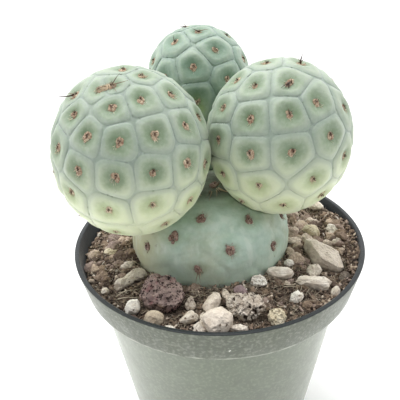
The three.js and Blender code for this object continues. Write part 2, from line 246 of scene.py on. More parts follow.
patches, given, shifted = new_group("patches", ("Scale", "Edge", "Softness", "Offset"))
cloud = add_node(patches, "ShaderNodeTexNoise", {
    "Vector": shifted, "Scale": given["Scale"], "Detail": 5.0, "Roughness": 0.6}).outputs["Fac"]
patches_mask = fade(patches, cloud, compute(patches, "SUBTRACT", given["Edge"], given["Softness"]),
                    compute(patches, "ADD", given["Edge"], given["Softness"]))
patches.links.new(patches_mask, patches.nodes.new("NodeGroupOutput").inputs["Mask"])


def patchy(tree, scale, edge, softness, offset=0.0):
    """A mask of uneven patches, as dried water, bloom or weathering leaves."""
    values = {"Scale": scale, "Edge": edge, "Softness": softness, "Offset": offset}
    return add_node(tree, "ShaderNodeGroup", values, node_tree=patches).outputs["Mask"]


pot_plastic, tree, shader = new_finish(
    "pot_plastic", roughness=0.4, specular_ior_level=0.35, sheen_weight=0.25, sheen_roughness=0.4,
    coat_roughness=0.22, coat_ior=1.6, coat_tint=srgb(244, 252, 232))
outside, up = layer(tree, "outside"), reach_along(tree, "Z")
on_collar = fade(tree, up, (collar_foot - 0.1) * mm, (collar_foot + 0.1) * mm)
film = product(tree, outside, between(tree, patchy(tree, 70, 0.5, 0.3), 0.78, 1.0))
colour = tint(tree, film, srgb(28, 34, 38), tint(tree, on_collar, srgb(103, 112, 95), srgb(104, 110, 94)))
streaks = grain(tree, 500.0, 4.0, (1, 1, 0.14))
wiped = product(tree, outside, fade(tree, streaks, 0.4, 0.75, 0.0, 0.35))
# A pale line along the collar's lower edge: partly dust, partly a painted highlight where its rounding catches the
# light.
ledge = fade(tree, up, (collar_foot + 1.0) * mm, (collar_foot + 0.4) * mm)
dust_and_highlight = product(tree, ledge, on_collar, patchy(tree, 340, 0.48, 0.2, 6.0))
mottle = product(tree, outside, fade(tree, grain(tree, 1100.0, 3.0), 0.45, 0.7, 0.0, 0.4))
specks = product(tree, outside, patchy(tree, 700, 0.735, 0.012, 3.0))
colour = coated(tree, colour, (wiped, (108, 115, 106)), (dust_and_highlight, (196, 198, 184)), (mottle, (166, 170, 156)),
                (specks, (235, 236, 228)))
tree.links.new(colour, shader.inputs["Base Color"])
tree.links.new(between(tree, patchy(tree, 160, 0.5, 0.2, 1.0), 0.38, 0.52), shader.inputs["Roughness"])
polished = product(tree, outside, fade(tree, on_collar, 1.0, 0.0))
tree.links.new(polished, shader.inputs["Coat Weight"])
bump(tree, shader, grain(tree, 1900.0, 3.0), 0.07 * mm, bump(tree, shader, streaks, 0.03 * mm))

pot_outline = [
    (0, 0), (foot_radius, 0), (body_top_radius - body_taper * collar_foot, 1), (body_top_radius, collar_foot),
    (collar_foot_radius, collar_foot), (rim_radius, pot_height), (rim_radius - lip_width, pot_height),
    (inner_radius(collar_foot + 2), collar_foot + 2), (inner_radius(collar_foot), collar_foot),
    (inner_radius(floor_thickness), floor_thickness), (0, floor_thickness)]


def turned(outline, steps):
    """A closed solid turned about Z from an outline of radii and heights in millimetres."""
    solid = bmesh.new()
    line = [solid.verts.new((radius * mm, 0, height * mm)) for radius, height in outline]
    edges = [solid.edges.new(ends) for ends in zip(line, line[1:])]
    bmesh.ops.spin(solid, geom=line + edges, cent=(0, 0, 0), axis=(0, 0, 1), dvec=(0, 0, 0),
                   angle=2 * math.pi, steps=steps, use_merge=True, use_duplicate=False)
    bmesh.ops.remove_doubles(solid, verts=solid.verts, dist=1e-6)
    bmesh.ops.recalc_face_normals(solid, faces=solid.faces)
    return solid


def as_piece(name, solid, finish, slot, smooth=True):
    """A bmesh as a finished object that rides with the plant."""
    mesh = as_mesh(name, solid)
    mesh.polygons.foreach_set("use_smooth", [smooth] * len(mesh.polygons))
    mesh.materials.append(finish)
    piece = bpy.data.objects.new(name, mesh)
    bpy.context.scene.collection.objects.link(piece)
    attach(piece, "root")
    return piece


def carry(piece, name, values):
    """Give a mesh a value at each of its points, for its material to read."""
    attribute = piece.data.attributes.new(name, "FLOAT", "POINT")
    attribute.data.foreach_set("value", np.asarray(values, np.float32))


def is_ring(edge, radius, height):
    """True where an edge runs round the pot at a radius and height of its outline."""
    near = 1e-5
    return all(abs(math.hypot(*v.co.xy) - radius * mm) < near and abs(v.co.z - height * mm) < near
               for v in edge.verts)


shell = turned(pot_outline, 180)
corners = (
    (foot_radius, 0), (collar_foot_radius, collar_foot), (rim_radius, pot_height),
    (rim_radius - lip_width, pot_height))
rings = [edge for edge in shell.edges if any(is_ring(edge, *corner) for corner in corners)]
bmesh.ops.bevel(
    shell, geom=rings, offset=edge_round * mm, affect="EDGES", segments=4, profile=0.5, material=-1)
pot = as_piece("nursery_pot", shell, pot_plastic, "pot")
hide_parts("pot")

drill = bmesh.new()
for k in range(drain_holes):
    angle = 2 * math.pi * k / drain_holes
    middle = Matrix.Translation((hole_circle * mm * math.cos(angle), hole_circle * mm * math.sin(angle), 0))
    bmesh.ops.create_cone(drill, cap_ends=True, segments=24, radius1=hole_radius * mm, radius2=hole_radius * mm,
                          depth=6 * mm, matrix=middle)
drill_object = bpy.data.objects.new("drill", as_mesh("drill", drill))
bpy.context.scene.collection.objects.link(drill_object)
holes = pot.modifiers.new("drain_holes", "BOOLEAN")
holes.operation = "DIFFERENCE"
holes.solver = "EXACT"
holes.object = drill_object
drilled = bpy.data.meshes.new_from_object(pot.evaluated_get(bpy.context.evaluated_depsgraph_get()))
pot.modifiers.clear()
pot.data = drilled
bpy.data.objects.remove(drill_object)

# The film lies on the outer face alone: not on the lip, and not inside.
points = [(math.hypot(v.co.x, v.co.y) / mm, v.co.z / mm) for v in pot.data.vertices]
carry(pot, "outside", [float(r > inner_radius(z) + 0.75 and z < pot_height - 0.15) for r, z in points])


# The soil: dark peat with brown and tan grit, filled to just under the lip and mounded up to the stem. The bed is
# one body that fills the pot. The grit, crumbs and root fibres that lie on it are strewn over it.

soil_near_stem = pot_height - 2.2
soil_at_rear = pot_height - 5.4
soil_at_front = pot_height - 3.4
soil_at_right = pot_height - 2.6
stem_centre = Vector((-2.6, 0.3, pot_height + 1.2))
stem_radius, stem_foot, stem_squareness, stem_gap = 24.5, 20, 2.4, 0.3
soil_edge = inner_radius(soil_at_rear)


def soil_height(x, y):
    """The height of the bed, heaped against the wall at the right."""
    from_stem = math.hypot(x - stem_centre.x, y - stem_centre.y) - stem_radius
    reach = max(math.hypot(x, y), 1)
    at_wall = soil_at_rear + smooth_step(-y / reach, 0, 0.75) * (soil_at_front - soil_at_rear)
    roll = 0.4 * math.sin(x * 0.21 + 1.1) * math.cos(y * 0.17 - 0.4)
    bed = soil_near_stem + smooth_step(from_stem, 0, 16) * (at_wall - soil_near_stem) + roll
    at_right = smooth_step(x / reach, 0.3, 0.75) * smooth_step(y / reach, -0.4, -0.1)
    return bed + at_right * smooth_step(reach, 34, 40.5) * (soil_at_right - bed)


def stem_underside(x, y):
    """The height of the buried half of the old segment, or a great height beside it."""
    share = math.hypot(x - stem_centre.x, y - stem_centre.y) / (stem_radius + stem_gap)
    if share >= 1:
        return 1e3
    return stem_centre.z - (stem_foot + stem_gap) * (1 - share ** stem_squareness) ** (1 / stem_squareness)


peat, tree, shader = new_finish("peat", roughness=0.95, specular_ior_level=0.2)
colour = coated(tree, srgb(54, 46, 40), (patchy(tree, 700, 0.5, 0.12), (124, 110, 97)),
                (patchy(tree, 2400, 0.58, 0.05, 2.0), (168, 154, 136)))
tree.links.new(colour, shader.inputs["Base Color"])
bump(tree, shader, grain(tree, 1600.0, 5.0), 0.5 * mm)

fit = 0.3  # the gap between the bed and the pot's inner wall and floor
ring_step, ring_count = 0.62, 67
bed_rings = [soil_edge - fit - ring_step * k for k in range(ring_count)]
bed = turned([
    (0, floor_thickness + fit), (inner_radius(floor_thickness) - fit, floor_thickness + fit),
    (inner_radius(collar_foot) - fit, collar_foot),
    (inner_radius(collar_foot + 2) - fit, collar_foot + 2 + fit), (bed_rings[0], soil_at_rear - 0.8),
    *((radius, pot_height) for radius in bed_rings), (0, pot_height)], 240)
for vert in bed.verts:
    if vert.co.z > (pot_height - 0.01) * mm:
        x, y = vert.co.x / mm, vert.co.y / mm
        lump = noise.fractal(Vector((x, y, 0)) * 0.9, 0.6, 2.0, 4)
        edge = 0 if math.hypot(x, y) > bed_rings[0] - 0.1 else 1
        vert.co.z = min(soil_height(x, y) + edge * 0.55 * lump, stem_underside(x, y) - 0.1) * mm
soil_bed = as_piece("soil_bed", bed, peat, "soil")
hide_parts("soil")

# Where the stones lie, so that grit and crumbs stay off their tops: place, half length, half width and turn.
stone_beds = [
    (-15.8, -28.8, 7.1, 5.8, -28), (31.4, -9.9, 8.5, 4.7, 131), (26.3, -22.5, 6.1, 2.7, -16),
    (27.3, -16.9, 3.2, 2.3, 40), (31.7, -26.6, 2.0, 1.4, 70), (20.8, -28.3, 2.3, 1.9, 30),
    (35.8, -19.2, 2.2, 1.9, 60), (30, 3.4, 3.8, 2.7, -20), (17.5, -19.5, 4.2, 2.2, -10),
    (20.4, -14.8, 1.9, 1.5, -25), (10.9, -23, 2.8, 2.2, 4), (5.6, -26.6, 2.3, 1.8, -15),
    (-0.5, -38.8, 5.1, 3.7, 30), (-1.9, -31.5, 4.6, 2.4, 62), (6.6, -33.4, 5.5, 4.3, -40),
    (14.7, -36.3, 2.8, 2.6, 80), (-7.7, -36.3, 2.9, 2.1, 14), (-7.4, -32.2, 2.0, 1.6, 60),
    (-25, -20.5, 6.8, 2.6, 42), (-31.9, -24.6, 1.7, 1.4, 60), (-22.7, -32.9, 2.9, 2.0, 58),
    (-17.1, -36.7, 3.1, 2.2, 10), (-33.6, -5.9, 2.5, 1.6, 4), (34.2, 19.6, 4.3, 2.6, -35)]


def on_a_stone(x, y, margin):
    """True where a place lies under a stone or the stem, or within a margin of one."""
    for at_x, at_y, half_length, half_width, turn in stone_beds:
        dx, dy, angle = x - at_x, y - at_y, math.radians(turn)
        along = dx * math.cos(angle) + dy * math.sin(angle)
        across = dy * math.cos(angle) - dx * math.sin(angle)
        if (along / (half_length + margin)) ** 2 + (across / (half_width + margin)) ** 2 < 1:
            return True
    return math.hypot(x - stem_centre.x, y - stem_centre.y) < stem_radius + stem_gap + margin


def seeded(seed):
    """The same run of numbers as the solids were made with, so that the grit lies where theirs does."""
    state = seed
    while True:
        state = (state * 1664525 + 1013904223) % 2 ** 32
        yield state / 2 ** 32


def scatter(count, smallest, largest, seed, inner=22.0, outer=soil_edge - 2.6):
    """Places on the soil ring between two radii, each with its size and turn."""
    draw = seeded(seed)
    for _ in range(count):
        reach = math.sqrt(inner ** 2 + next(draw) * (outer ** 2 - inner ** 2))
        angle = 2 * math.pi * next(draw)
        size = smallest + (largest - smallest) * next(draw) ** 2
        yield reach * math.cos(angle), reach * math.sin(angle), size, 2 * math.pi * next(draw)


def template(solid):
    """A shape to strew, each copy of which gets a tone of its own."""
    mesh = as_mesh("template", solid)
    mesh.attributes.new("tone", "FLOAT", "POINT")
    return mesh


def broken_lump(seed, detail, roughness):
    """A small stone shape about one unit across, broken along a few planes."""
    lump = bmesh.new()
    bmesh.ops.create_icosphere(lump, subdivisions=detail, radius=1)
    draw = random.Random(seed)
    planes = []
    for _ in range(9):
        normal = Vector([draw.uniform(-1, 1) for _ in range(3)]).normalized()
        planes.append((normal, draw.uniform(0.6, 0.9)))
    for vert in lump.verts:
        cuts = [cut / max(vert.co.dot(normal), 0.1) for normal, cut in planes]
        vert.co *= min(1, *cuts) * (1 + roughness * noise.noise(vert.co * 2.4 + Vector((seed, 0, 0))))
    return template(lump)


def strand(seed, sides, rings, bend):
    """A tapered hair of unit length and thickness, bent to one side by a number of its own thicknesses."""
    hair = bmesh.new()
    bmesh.ops.create_cone(hair, cap_ends=True, segments=sides, radius1=1, radius2=0.15, depth=1,
                          matrix=Matrix.Translation((0, 0, 0.5)))
    for k in range(1, rings):
        bmesh.ops.bisect_plane(hair, geom=hair.verts[:] + hair.edges[:] + hair.faces[:],
                               plane_co=(0, 0, k / rings), plane_no=(0, 0, 1))
    draw = random.Random(seed)
    curl, wave = draw.uniform(-bend, bend), draw.uniform(-0.3, 0.3) * bend
    for vert in hair.verts:
        vert.co.x += curl * vert.co.z ** 2 + wave * math.sin(6 * vert.co.z)
        vert.co.y += wave * math.sin(4 * vert.co.z)
    return template(hair)


def strew(name, shapes, places, finish, slot, smooth=False):
    """Many small copies of a few shapes as one piece, each at its own place with its own tone."""
    heap = bmesh.new()
    for i, (matrix, tone) in enumerate(places):
        copy = shapes[i % len(shapes)].copy()
        copy.transform(matrix)
        copy.attributes["tone"].data.foreach_set("value", [tone] * len(copy.vertices))
        heap.from_mesh(copy)
        bpy.data.meshes.remove(copy)
    return as_piece(name, heap, finish, slot, smooth)


def lump_size(half, draw, *spreads):
    """The half sizes of a small lump, each drawn between two shares of half."""
    return tuple(half * draw.uniform(low, high) for low, high in spreads)


def lie(x, y, z, size, turn, draw, tilt=0.5):
    """The place of a small lump: its three half sizes, a random tumble and its turn on the soil."""
    tumble = Matrix.Rotation(draw.uniform(-tilt, tilt), 4, "X")
    tumble = tumble @ Matrix.Rotation(draw.uniform(-tilt, tilt), 4, "Y")
    scale = Matrix.Diagonal((size[0] * mm, size[1] * mm, size[2] * mm, 1))
    return Matrix.Translation((x * mm, y * mm, z * mm)) @ Matrix.Rotation(turn, 4, "Z") @ tumble @ scale


def stand(root, heading, length, thickness, roll=0.0):
    """The place of a strand: its root and heading, its length and half thickness in millimetres."""
    aim = Vector(heading).to_track_quat("Z", "Y").to_matrix().to_4x4()
    scale = Matrix.Diagonal((thickness * mm, thickness * mm, length * mm, 1))
    return Matrix.Translation(root) @ aim @ Matrix.Rotation(roll, 4, "Z") @ scale


grit_stone, tree, shader = new_finish("grit_stone", roughness=0.9, specular_ior_level=0.25)
ramp = add_node(tree, "ShaderNodeValToRGB", {"Fac": layer(tree, "tone")})
for position, shade in (
        (0.2, (114, 98, 88)), (0.4, (158, 138, 118)), (0.55, (162, 144, 136)), (0.7, (204, 184, 164)),
        (0.85, (224, 210, 194))):
    ramp.color_ramp.elements.new(position).color = srgb(*shade)
ramp.color_ramp.elements[0].color = srgb(54, 45, 40)
ramp.color_ramp.elements[-1].color = srgb(246, 241, 230)
shade = ramp.outputs["Color"]
worn = tint(tree, patchy(tree, 1500, 0.5, 0.1, 5.0), shade, srgb(118, 104, 94), "MULTIPLY")
colour = tint(tree, 0.45, shade, worn)
tree.links.new(colour, shader.inputs["Base Color"])
bump(tree, shader, grain(tree, 3000.0, 3.0), 0.2 * mm)

lumps = [broken_lump(seed, 3, 0.3) for seed in range(10)]
small_lumps = [broken_lump(40 + seed, 2, 0.4) for seed in range(10)]
crumb_shapes = [broken_lump(70 + seed, 1, 0.6) for seed in range(8)]

# The first 300 grains lie all round, the others only behind the front. Those over 1.75 mm are large grit.
all_round, large_from = 300, 1.75
draw = random.Random(3)
large_grit, small_grit = [], []
for i, (x, y, radius, turn) in enumerate([*scatter(260, 1.1, 2.9, 7), *scatter(240, 1.3, 2.5, 21)]):
    rear = smooth_step(y, -26, -8)
    if not on_a_stone(x, y, 0.35 * radius) and (i < all_round or rear > 0.3):
        half = radius * (0.75 + 0.25 * rear)
        size = lump_size(half, draw, (0.85, 1.25), (0.65, 0.95), (0.45, 0.75))
        tone = draw.uniform(0.12, 0.6 + 0.2 * rear) + (0.05 * rear if x > 10 else -0.05)
        if draw.random() >= 0.9:
            tone = draw.uniform(0.8, 0.97)
        place = (lie(x, y, soil_height(x, y) + 0.2 * half, size, turn, draw), tone)
        (large_grit if radius > large_from else small_grit).append(place)
# Small stones that show between the large ones: place, half sizes, turn in degrees and tone.
for x, y, half_length, half_width, turn, tone in (
        (-11.4, -24.6, 2.0, 1.2, 160, 0.97), (-4.9, -39.6, 2.0, 1.7, 40, 0.92),
        (-4.6, -36.0, 2.6, 0.8, 80, 0.9), (-8.6, -25.6, 1.3, 1.0, 20, 0.5), (5.0, -39.8, 2.8, 1.3, 5, 0.92),
        (-22.3, -35.8, 1.7, 1.0, -30, 0.2), (-12.3, -39.2, 1.9, 1.0, -15, 0.97),
        (2.1, -28.7, 3.0, 1.4, 105, 0.86), (-39.6, -4.4, 2.6, 1.9, 85, 0.74),
        (-38.6, -12.6, 3.0, 2.2, 70, 0.55), (-33.2, 1.8, 3.0, 2.0, 20, 0.55),
        (-29.6, -2.8, 1.9, 1.4, 0, 0.35), (-30.5, -12.5, 2.4, 1.5, 35, 0.5),
        (-34.6, -17.6, 2.6, 1.9, 50, 0.45), (24.2, 2.8, 2.4, 2.0, 60, 0.8),
        (25.9, -0.8, 1.5, 1.2, 0, 0.75), (34.6, -1.6, 3.2, 2.1, -30, 0.82), (37.4, 9.6, 2.2, 1.6, 70, 0.7),
        (37.6, -6.6, 1.8, 1.2, 80, 0.75), (31.6, 12.0, 3.0, 2.0, -20, 0.84), (23.2, -8.6, 2.2, 1.7, 30, 0.25),
        (36.4, 2.8, 2.4, 1.6, 80, 0.68), (27.4, 8.4, 2.4, 1.8, 10, 0.72)):
    size = (half_length, half_width, 0.8 * half_width)
    large_grit.append((lie(x, y, soil_height(x, y) + 0.6, size, math.radians(turn), draw, 0.2), tone))
strew("large_grit", lumps, large_grit, grit_stone, "soil", smooth=True)
strew("grit", small_lumps, small_grit, grit_stone, "soil")

fine_places = []
for x, y, radius, turn in scatter(1900, 0.35, 1.35, 11, 21.0, soil_edge - 0.9):
    rear = smooth_step(y, -26, -8)
    if not on_a_stone(x, y, 0.1) and draw.random() < 0.35 + 0.65 * rear:
        size = lump_size(radius, draw, (0.8, 1.4), (0.55, 0.95), (0.45, 0.8))
        tone = draw.uniform(0.1, 0.5 + 0.3 * rear) if draw.random() < 0.88 else draw.uniform(0.7, 0.98)
        fine_places.append((lie(x, y, soil_height(x, y) + 0.3, size, turn, draw, 0.8), tone))
strew("fine_grit", small_lumps, fine_places, grit_stone, "soil", smooth=True)

crumb_places = []
for x, y, radius, turn in scatter(6400, 0.2, 0.8, 12, 21.0, soil_edge - 0.7):
    if not on_a_stone(x, y, -0.2):
        size = lump_size(radius, draw, (0.9, 2.6), (0.4, 0.9), (0.4, 0.8))
        place = lie(x, y, soil_height(x, y) + 0.55, size, turn, draw, 1.0)
        tone = 0.46 * draw.random() if draw.random() < 0.86 else draw.uniform(0.6, 0.95)
        crumb_places.append((place, tone))
# Crumbs pushed up against the wall at the right, where the heap reaches the lip.
bank_radius, bank_width = 40.1, 2.9
bank_foot, bank_top = pot_height - 2.9, pot_height - 1.0
bank_draw = random.Random(9)
for _ in range(1100):
    angle, share = bank_draw.uniform(-52, 22), bank_draw.random()
    height = share * smooth_step(angle, -54, -34) * smooth_step(angle, 24, 6)
    reach, angle = bank_radius + bank_width * share, math.radians(angle)
    x, y = reach * math.cos(angle), reach * math.sin(angle)
    radius = 0.22 + 0.6 * bank_draw.random() ** 2
    size = lump_size(radius, bank_draw, (0.9, 1.9), (0.5, 1.0), (0.5, 0.9))
    tone = 0.5 * bank_draw.random() if bank_draw.random() < 0.8 else bank_draw.uniform(0.55, 0.85)
    level = bank_foot + (bank_top - bank_foot) * height
    if not on_a_stone(x, y, 0.2):
        place = lie(x, y, level, size, bank_draw.uniform(0, 6), bank_draw, 1.0)
        crumb_places.append((place, tone))
strew("peat_crumbs", crumb_shapes, crumb_places, grit_stone, "soil")

root_fibre, tree, shader = new_finish("root_fibre", roughness=0.85, specular_ior_level=0.2)
colour = coated(tree, srgb(74, 60, 50), (layer(tree, "tone"), (216, 204, 182)))
tree.links.new(colour, shader.inputs["Base Color"])
bump(tree, shader, grain(tree, 2400.0, 2.0), 0.06 * mm)
fibre_shapes = [strand(seed, 3, 5, 11) for seed in range(12)]
fibre_places = []
for x, y, thickness, turn in scatter(3400, 0.05, 0.13, 31, 24.0, soil_edge - 1.6):
    if not on_a_stone(x, y, 0.3) and draw.random() < 1 - 0.65 * smooth_step(y, -22, -6):
        heading = (math.cos(turn), math.sin(turn), draw.uniform(-0.1, 0.28))
        root = (x * mm, y * mm, (soil_height(x, y) + draw.uniform(0.5, 1.3)) * mm)
        length = draw.uniform(1.6, 5.5) * (0.6 if math.hypot(x, y) > soil_edge - 6 else 1)
        place = stand(root, heading, length, thickness, draw.uniform(0, 6))
        fibre_places.append((place, draw.random() ** 1.2))
# Three thicker roots in front: place, heading and length.
for x, y, heading, length in (
        (-28.3, -28.0, (0.92, 0.38, 0.02), 8.0), (-27.6, -28.9, (0.96, 0.2, 0.05), 6.0),
        (18.0, -24.0, (0.9, 0.3, 0.02), 6.5)):
    root = (x * mm, y * mm, (soil_height(x, y) + 1.2) * mm)
    fibre_places.append((stand(root, heading, length, 0.19), 1.0))
strew("soil_fibres", fibre_shapes, fibre_places, root_fibre, "soil", smooth=True)


# The stem segments: four swollen joints, each grown out of the one below it. A net of fine grooves parts the skin
# into dished tubercles, powdered with blue-grey wax that is thin and greener round each areole.

def direction_of(azimuth, height):
    """The direction with an azimuth from +X and a height above the level, both in degrees."""
    turn, rise = math.radians(azimuth), math.radians(height)
    return (math.cos(rise) * math.cos(turn), math.cos(rise) * math.sin(turn), math.sin(rise))


def body_points(spec, directions, lift):
    """The segment's smooth body in the given directions from its centre, moved out by lift, in millimetres."""
    power = 2 / spec["squareness"]
    flat = np.maximum(np.hypot(directions[:, 0], directions[:, 1]), 1e-6)
    spread = (spec["radius"] + lift) * flat ** (power - 1)
    half = np.where(directions[:, 2] > 0, spec["top"], spec["foot"]) + lift
    down = np.minimum(directions[:, 2], 0) ** 2
    return np.stack([
        spec["centre"][0] + spread * directions[:, 0] + spec["lean"][0] * down,
        spec["centre"][1] + spread * directions[:, 1] + spec["lean"][1] * down,
        spec["centre"][2] + half * np.sign(directions[:, 2]) * np.abs(directions[:, 2]) ** power], axis=1)


def ease(values, start, end):
    """The smooth step on a whole array."""
    share = np.clip((values - start) / (end - start), 0, 1)
    return share * share * (3 - 2 * share)


def inside(spec, points, lift):
    """Which points lie inside a segment's smooth body with its skin moved out by lift."""
    offset = points - np.array(spec["centre"])
    half = np.where(offset[:, 2] > 0, spec["top"], spec["foot"]) + lift
    height = offset[:, 2] / half
    down = np.where(height < 0, np.minimum(height ** 2, 1), 0)
    flat = np.hypot(offset[:, 0] - spec["lean"][0] * down, offset[:, 1] - spec["lean"][1] * down)
    return (flat / (spec["radius"] + lift)) ** spec["squareness"] + np.abs(height) ** spec["squareness"] < 1


def cell_distances(spec, areoles, directions):
    """For each direction its nearest areole and the one across the nearest groove, and how far it is to that
    first areole and to that groove."""
    gaps = np.sqrt(np.maximum(2 - 2 * directions @ areoles.T, 0)) * spec["radius"]
    own = np.argmin(gaps, axis=1)
    nearest = gaps[np.arange(len(gaps)), own]
    apart = np.linalg.norm(areoles[:, None] - areoles[None], axis=2)[own] * spec["radius"]
    apart[np.arange(len(gaps)), own] = 1
    to_side = (gaps ** 2 - nearest[:, None] ** 2) / (2 * apart)
    to_side[np.arange(len(gaps)), own] = 99
    rounding = 1.9
    groove = -np.log(np.sum(np.exp(-rounding * to_side), axis=1)) / rounding
    return own, np.argmin(to_side, axis=1), nearest, groove


def grow_segment(name, spec, finish, slot, node, seats=()):
    """A segment's skin as a fine ball whose points are set along the grooves, dished and pressed by its seats."""
    areoles = np.array([direction_of(*place) for place in spec["areoles"]])
    skin = bmesh.new()
    bmesh.ops.create_icosphere(skin, subdivisions=7, radius=1)
    directions = np.array([vert.co.normalized()[:] for vert in skin.verts])

    # Points near a groove are set right on it, so that it runs clean.
    own, beside, _, _ = cell_distances(spec, areoles, directions)
    across = areoles[own] - areoles[beside]
    across /= np.linalg.norm(across, axis=1)[:, None]
    off = np.sum(directions * across, axis=1)
    reach_of_groove = 0.2
    snap = np.abs(off) * spec["radius"] < reach_of_groove
    directions[snap] -= off[snap][:, None] * across[snap]
    directions /= np.linalg.norm(directions, axis=1)[:, None]
    own, _, nearest, groove = cell_distances(spec, areoles, directions)

    uneven = np.array([
        noise.fractal(Vector(direction) * spec["radius"] * 0.16, 0.8, 2.0, 3) for direction in directions])
    crease = 0.14 * (1 - ease(groove, -0.1, 0.4)) + 0.28 * (1 - ease(groove, 0.25, 1.5))
    dish = 0.74 * (1 - ease(nearest, 0.5, 3.9)) + 0.3 * (1 - ease(nearest, 0.2, 1.5))
    shallow = 0.5 + 0.5 * ease(directions[:, 2], -0.75, -0.1)
    lift = 0.16 * uneven + spec["relief"] * (0.12 - shallow * (crease + dish))
    smooth_body = body_points(spec, directions, 0.0)
    points = smooth_body + (body_points(spec, directions, 1.0) - smooth_body) * lift[:, None]
    centre = np.array(spec["centre"])

    # Points that lie inside a segment grown on this one are drawn in, a little at a time, and leave its seat.
    seat_gap, steps, shrink = 0.25, 60, 0.994
    for _ in range(steps):
        pressed = np.zeros(len(points), bool)
        for upper in seats:
            pressed |= inside(upper, points, seat_gap)
        points[pressed] = centre + (points[pressed] - centre) * shrink
    for vert, point in zip(skin.verts, points):
        vert.co = Vector(point) * mm
    piece = as_piece(name, skin, finish, slot)
    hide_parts(node)
    draw = random.Random(round(spec["radius"] * 100))
    shades = np.array([draw.random() for _ in areoles])
    carry(piece, "from_areole", nearest)
    carry(piece, "from_groove", groove)
    carry(piece, "tubercle", shades[own])
    carry(piece, "height", (points[:, 2] - centre[2]) / spec["top"])


def stem_finish(name, bloom, flesh, halo, band, line, low, shares):
    """Waxy stem skin: green flesh under a powdery bloom, bare round the areoles and blue-grey along the grooves."""
    material, tree, shader = new_finish(
        name, roughness=0.5, sheen_weight=0.25, sheen_roughness=0.4, sheen_tint=srgb(236, 242, 230),
        subsurface_weight=0.1, subsurface_scale=2.5 * mm, subsurface_radius=(0.6, 1.0, 0.35),
        specular_ior_level=0.35)
    groove, height = layer(tree, "from_groove"), layer(tree, "height")
    own_tone = between(tree, layer(tree, "tubercle"), 0.0, 0.3)
    # Lighter and yellower towards the foot: painted light that stands for light bounced up from below and shining
    # through the flesh.
    foot = fade(tree, height, 0.45, -0.6, 0.0, shares["low"])
    colour = coated(tree, srgb(*bloom), (patchy(tree, 240, 0.5, 0.22), flesh), (own_tone, flesh), (foot, low))

    # The ring of bare flesh round each areole, ragged at its edge and weaker towards the segment's foot, where it
    # is also lighter and yellower with painted light from below.
    ragged = between(tree, patchy(tree, 520, 0.5, 0.3, 2.0), 0.0, 1.0)
    ragged = compute(tree, "ADD", layer(tree, "from_areole"), ragged)
    paled = fade(tree, height, 0.15, -0.5, 1.0, shares["paled"])
    bare = product(tree, fade(tree, ragged, 5.0, 1.4, 0.0, shares["halo"]), paled)
    ring = coated(tree, srgb(*halo), (fade(tree, height, 0.1, -0.45), (164, 182, 118)))
    colour = tint(tree, bare, colour, ring)

    # Each groove: a band along it, a pale ridge beside it that is a painted highlight, and a fine line in it that
    # fades out in places.
    even = fade(tree, height, -0.15, -0.75, 1.0, 0.15)
    banded = product(tree, even, fade(tree, groove, 1.5, 0.5, 0.0, shares["band"]))
    ridge_highlight = product(tree, fade(tree, groove, 0.5, 1.1), fade(tree, groove, 2.3, 1.3, 0.0, shares["ridge_highlight"]))
    faint = between(tree, patchy(tree, 95, 0.5, 0.16, 13.0), 0.25, 1.0)
    drawn = product(tree, faint, even, fade(tree, groove, 0.24, 0.02, 0.0, shares["line"]))
    colour = coated(tree, colour, (banded, band), (ridge_highlight, (196, 206, 188)), (drawn, line))

    # Age: stains, scuffs, powdery wax and specks of dirt; also a paler and yellower left side, and a dark crown
    # between the upper segments that is painted shade with some dirt.
    stained = product(tree, patchy(tree, 55, 0.55, 0.12, 11.0), shares["stain"])
    # Paler and yellower towards the segment's left, by how far it lies along -X.
    paler_left_side = fade(tree, reach_along(tree, "X"), -10 * mm, -25 * mm, 0.0, shares["side"])
    scuffed = fade(tree, grain(tree, 330.0, 6.0, (1, 1, 0.3)), 0.5, 0.68, 0.0, shares["scuff"])
    powder = patchy(tree, 1100, 0.56, 0.14, 4.0)
    powdered = product(tree, powder, shares["powder"])
    specks = product(tree, patchy(tree, 420, 0.72, 0.03, 7.0), 0.45)
    # The top of the old segment, between the upper ones, darkens: painted shade in that hollow, with some dirt.
    crown_shade_and_dirt = product(tree, between(tree, patchy(tree, 500, 0.5, 0.3, 8.0), 0.8, 1.0), shares["crown"],
                    fade(tree, height, 0.93, 0.995))
    colour = coated(tree, colour, (stained, (172, 168, 134)), (paler_left_side, (206, 200, 160)), (scuffed, (216, 224, 214)),
                    (powdered, (208, 216, 208)), (specks, (134, 128, 100)), (crown_shade_and_dirt, (58, 52, 40)))
    tree.links.new(colour, shader.inputs["Base Color"])
    tree.links.new(between(tree, powder, 0.42, 0.6), shader.inputs["Roughness"])
    wrinkled = bump(tree, shader, grain(tree, 700.0, 4.0), 0.12 * mm)
    bump(tree, shader, fade(tree, groove, -0.1, 0.4), shares["crease"] * mm, wrinkled)
    return material


